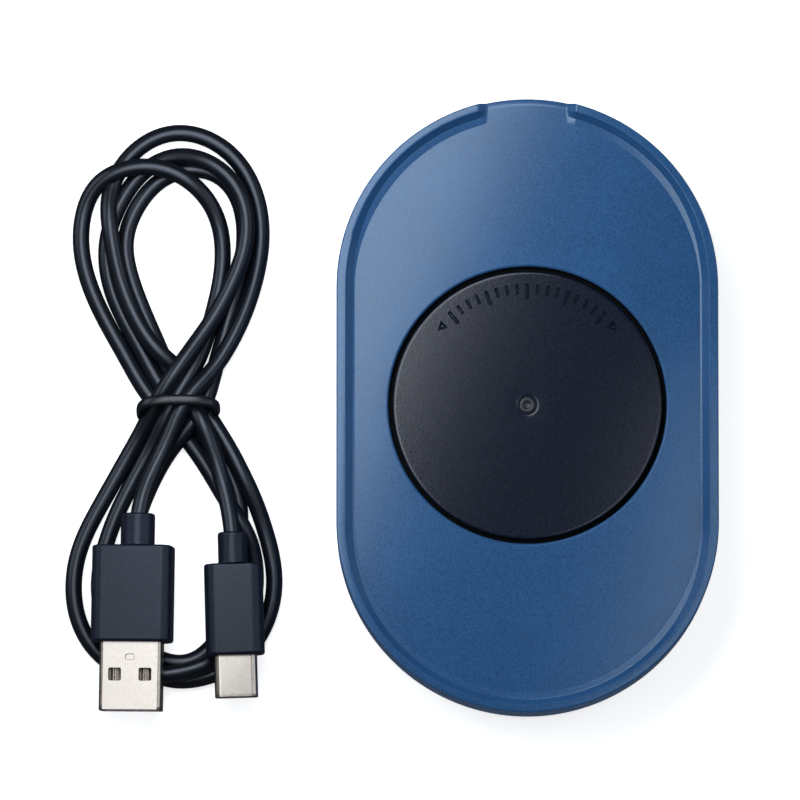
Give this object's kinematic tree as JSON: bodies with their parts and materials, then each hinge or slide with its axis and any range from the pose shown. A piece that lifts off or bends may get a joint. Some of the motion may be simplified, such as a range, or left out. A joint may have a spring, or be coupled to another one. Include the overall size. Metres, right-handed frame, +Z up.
{
  "type": "mouse jiggler",
  "caption": "Flat oval desk tray whose slowly turning disc keeps a resting computer mouse moving, with a bundled power lead.",
  "frame": {"origin": "centre of the tray's footprint, on the desk surface under its rubber feet", "axes": "+Z up, +Y along the tray towards the gap in its rim, +X to the right seen from above"},
  "size_m": [0.1276, 0.1204, 0.017],
  "materials": {
    "housing_blue": "fine spark-eroded texture",
    "base_black": "matt",
    "foot_rubber": "matt",
    "screw_steel": "bright zinc",
    "disc_black": "leather grain",
    "shaft_steel": "ground",
    "bush_bronze": "turned",
    "gear_white": "moulded",
    "motor_steel": "nickel plated",
    "black_moulding": "moulded",
    "flex_amber": "film",
    "board_green": "solder mask",
    "capacitor_can": "satin",
    "cream_moulding": "moulded",
    "overmould_black": "fine texture",
    "plug_nickel": "nickel plated",
    "tongue_black": "moulded",
    "contact_gold": "gold plated",
    "tie_black": "smooth",
    "cable_jacket": "smooth satin"
  },
  "bodies": {
    "tray": {"top_housing": "housing_blue", "base_plate": "base_black", "rubber_feet": "foot_rubber", "case_screws": "screw_steel", "spindle_bush": "bush_bronze", "second_gear_axle": "shaft_steel", "first_gear_axle": "shaft_steel", "motor_can": "motor_steel", "motor_front_plate": "motor_steel", "motor_bearing": "bush_bronze", "motor_terminal_block": "black_moulding", "motor_screws": "screw_steel", "motor_flex_lead": "flex_amber", "circuit_board": "board_green", "board_screws": "screw_steel", "usb_socket_shell": "plug_nickel", "usb_socket_tongue": "black_moulding", "switch_body": "plug_nickel", "driver_chip": "black_moulding", "board_capacitors": "capacitor_can", "flex_connector": "cream_moulding"},
    "turntable": {"turntable_disc": "disc_black", "disc_centre_cap": "disc_black", "disc_screw": "screw_steel", "disc_spindle": "shaft_steel", "thrust_washer": "gear_white", "output_gear": "gear_white", "spindle_clip": "screw_steel"},
    "second_gear_body": {"second_gear": "gear_white"},
    "first_gear_body": {"first_gear": "gear_white"},
    "motor_rotor": {"motor_shaft": "shaft_steel", "motor_pinion": "bush_bronze"},
    "power_switch": {"switch_slider": "black_moulding"},
    "usb_lead": {"usb_a_overmould": "overmould_black", "usb_a_shell": "plug_nickel", "usb_a_tongue": "tongue_black", "usb_a_contacts": "contact_gold", "usb_c_overmould": "overmould_black", "usb_c_shell": "plug_nickel", "usb_c_insert": "black_moulding", "cable_tie": "tie_black", "cable_upper_hank": "cable_jacket", "cable_lower_hank": "cable_jacket", "cable_tail_a": "cable_jacket", "cable_tail_c": "cable_jacket"}
  },
  "joints": [
    {"name": "disc_spin", "type": "hinge", "parent": "tray", "child": "turntable", "pos_m": [0, 0, 0.0136], "axis": [0, 0, 1], "continuous": true},
    {"name": "second_gear_spin", "type": "hinge", "parent": "tray", "child": "second_gear_body", "pos_m": [-0.00618, -0.01697, 0.007], "axis": [0, 0, 1], "continuous": true},
    {"name": "first_gear_spin", "type": "hinge", "parent": "tray", "child": "first_gear_body", "pos_m": [-0.00057, -0.02899, 0.005], "axis": [0, 0, 1], "continuous": true},
    {"name": "motor_spin", "type": "hinge", "parent": "tray", "child": "motor_rotor", "pos_m": [-0.00057, -0.04105, 0.006], "axis": [0, 0, 1], "continuous": true},
    {"name": "switch_slide", "type": "slide", "parent": "tray", "child": "power_switch", "axis": [0, 1, 0], "range_m": [0, 0.002]},
    {"name": "lead_lift_off", "type": "slide", "parent": "tray", "child": "usb_lead", "axis": [0, 0, 1], "range_m": [0, 0.04]}
  ],
  "couplings": [
    {"joint": "second_gear_spin", "follows": "disc_spin", "ratio": -5},
    {"joint": "first_gear_spin", "follows": "disc_spin", "ratio": 17},
    {"joint": "motor_spin", "follows": "disc_spin", "ratio": -51}
  ]
}
